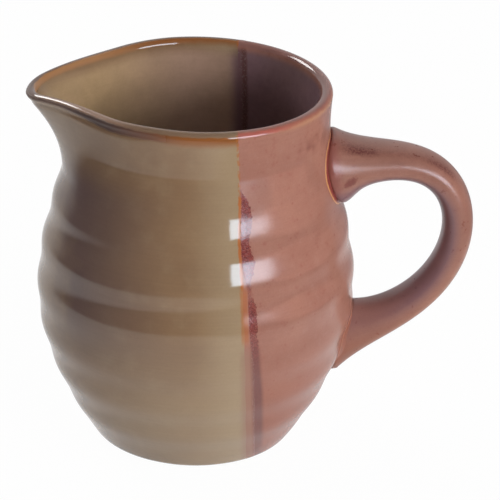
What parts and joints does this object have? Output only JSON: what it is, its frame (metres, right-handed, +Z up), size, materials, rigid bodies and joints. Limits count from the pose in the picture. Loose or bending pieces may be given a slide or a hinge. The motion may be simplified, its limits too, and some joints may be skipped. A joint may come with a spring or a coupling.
{
  "type": "cream jug",
  "caption": "Small thrown stoneware jug for cream, with a ridged round body, pulled spout, strap handle and overlapping dipped glazes.",
  "frame": {"origin": "centre of the foot, on the surface that the jug stands on", "axes": "+Z up along the axis of the thrown body, +X towards the handle and -X towards the spout"},
  "size_m": [0.1232, 0.088, 0.1051],
  "materials": {
    "stoneware": "bare fired clay, matt",
    "slip": "thin glaze breaking orange over a bead of slip",
    "olive_glaze": "glossy olive brown",
    "terracotta_glaze": "satin rose brown",
    "overlap_glaze": "satin maroon"
  },
  "bodies": {
    "root": {"body": "stoneware", "handle": "stoneware", "upper_slip_joint": "slip", "lower_slip_joint": "slip", "olive_glaze": "olive_glaze", "terracotta_glaze": "terracotta_glaze", "glaze_overlap": "overlap_glaze", "handle_glaze": "terracotta_glaze"}
  },
  "joints": []
}
